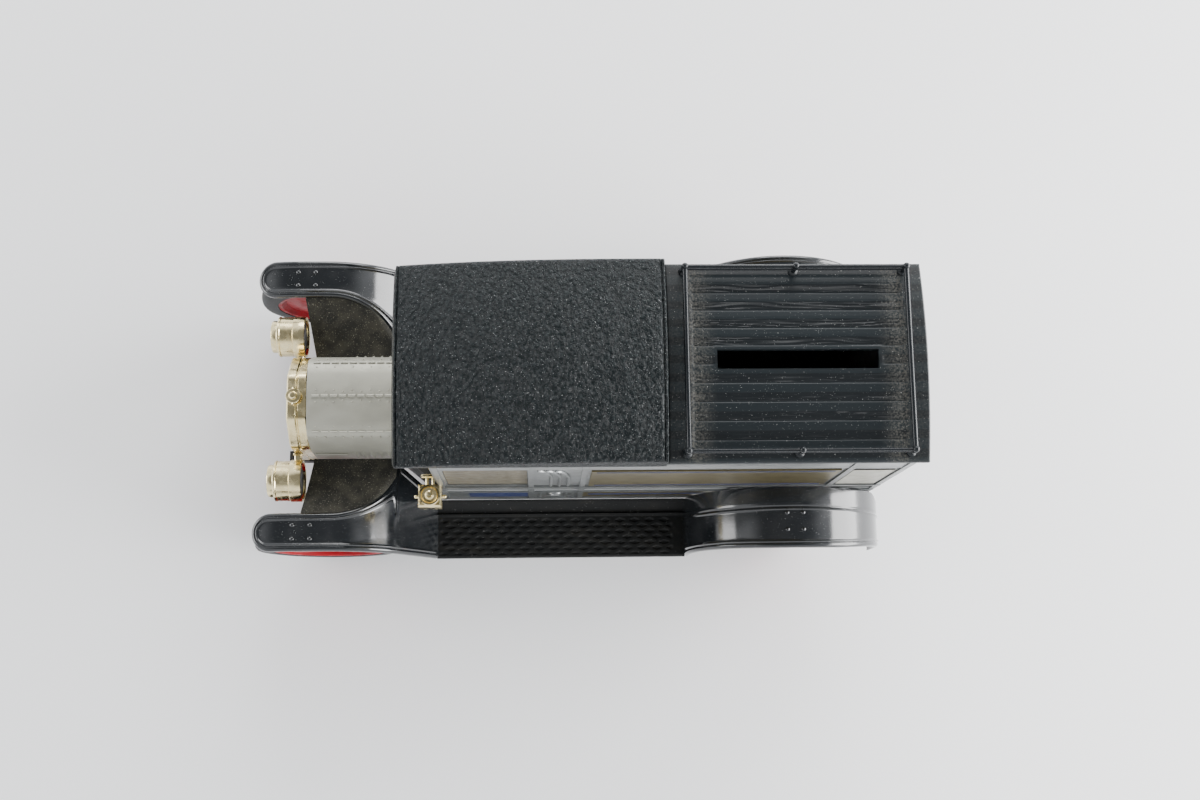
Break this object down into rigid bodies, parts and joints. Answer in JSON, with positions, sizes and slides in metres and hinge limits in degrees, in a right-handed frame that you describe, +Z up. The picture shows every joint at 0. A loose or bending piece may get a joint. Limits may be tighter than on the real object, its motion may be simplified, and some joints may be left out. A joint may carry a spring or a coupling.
{
  "type": "toy van coin bank",
  "caption": "Plastic toy delivery van coin bank with a coin slot in its plank roof, plated radiator and lamps, black fenders, rolling wheels and a pull-out coin plug.",
  "frame": {"origin": "centre of the footprint, on the ground under the tyres", "axes": "+X towards the radiator, +Y to the van's left side, +Z up"},
  "size_m": [0.1717, 0.0792, 0.1002],
  "materials": {
    "black_moulding": "semi-gloss moulded plank and frame, dusty",
    "matte_black": "matte, dusty",
    "leather_top": "leather-grain moulding, semi-gloss",
    "silver_body": "satin silver plating on moulded plastic",
    "hood_silver": "warm satin silver",
    "gold_plate": "vacuum-plated pale gold, glossy",
    "clear_screen": "clear",
    "cream_panel": "glossy cream",
    "gold_label": "gold foil print",
    "gloss_black": "glossy",
    "steel": "bare",
    "wheel_red": "glossy red",
    "tyre_black": "fine circumferential ribs"
  },
  "bodies": {
    "van": {"chassis": "black_moulding", "body_side_left": "silver_body", "body_side_right": "silver_body", "body_rear": "silver_body", "body_front": "silver_body", "cowl": "black_moulding", "cab_roof": "leather_top", "cargo_roof": "black_moulding", "luggage_rail": "black_moulding", "hood": "hood_silver", "radiator_shell": "gold_plate", "radiator_grille": "gold_plate", "radiator_cap": "gold_plate", "windscreen_frame": "gold_plate", "windscreen_glass": "clear_screen", "window_panel_left": "cream_panel", "window_panel_right": "cream_panel", "side_label_left": "gold_label", "side_label_right": "gold_label", "rear_door": "silver_body", "apron_left": "matte_black", "apron_right": "matte_black", "headlamp_left": "gold_plate", "headlamp_right": "gold_plate", "cowl_lamp_left": "gold_plate", "cowl_lamp_right": "gold_plate", "front_fender_left": "gloss_black", "front_fender_right": "gloss_black", "rear_fender_left": "gloss_black", "rear_fender_right": "gloss_black", "running_board_left": "matte_black", "running_board_right": "matte_black", "fender_rivets": "gloss_black", "chassis_screws": "steel"},
    "coin_plug": {"coin_plug": "black_moulding"},
    "front_wheels": {"front_axle": "steel", "wheel_front_left": "wheel_red", "wheel_front_right": "wheel_red", "tyre_front_left": "tyre_black", "tyre_front_right": "tyre_black"},
    "rear_wheels": {"rear_axle": "steel", "wheel_rear_left": "wheel_red", "wheel_rear_right": "wheel_red", "tyre_rear_left": "tyre_black", "tyre_rear_right": "tyre_black"}
  },
  "joints": [
    {"name": "front_axle_spin", "type": "hinge", "parent": "van", "child": "front_wheels", "pos_m": [0.0656, 0, 0.0205], "axis": [0, 1, 0], "continuous": true},
    {"name": "rear_axle_spin", "type": "hinge", "parent": "van", "child": "rear_wheels", "pos_m": [-0.0587, 0, 0.0205], "axis": [0, 1, 0], "continuous": true},
    {"name": "coin_plug_pull", "type": "slide", "parent": "van", "child": "coin_plug", "axis": [0, 0, -1], "range_m": [0, 0.012]}
  ]
}
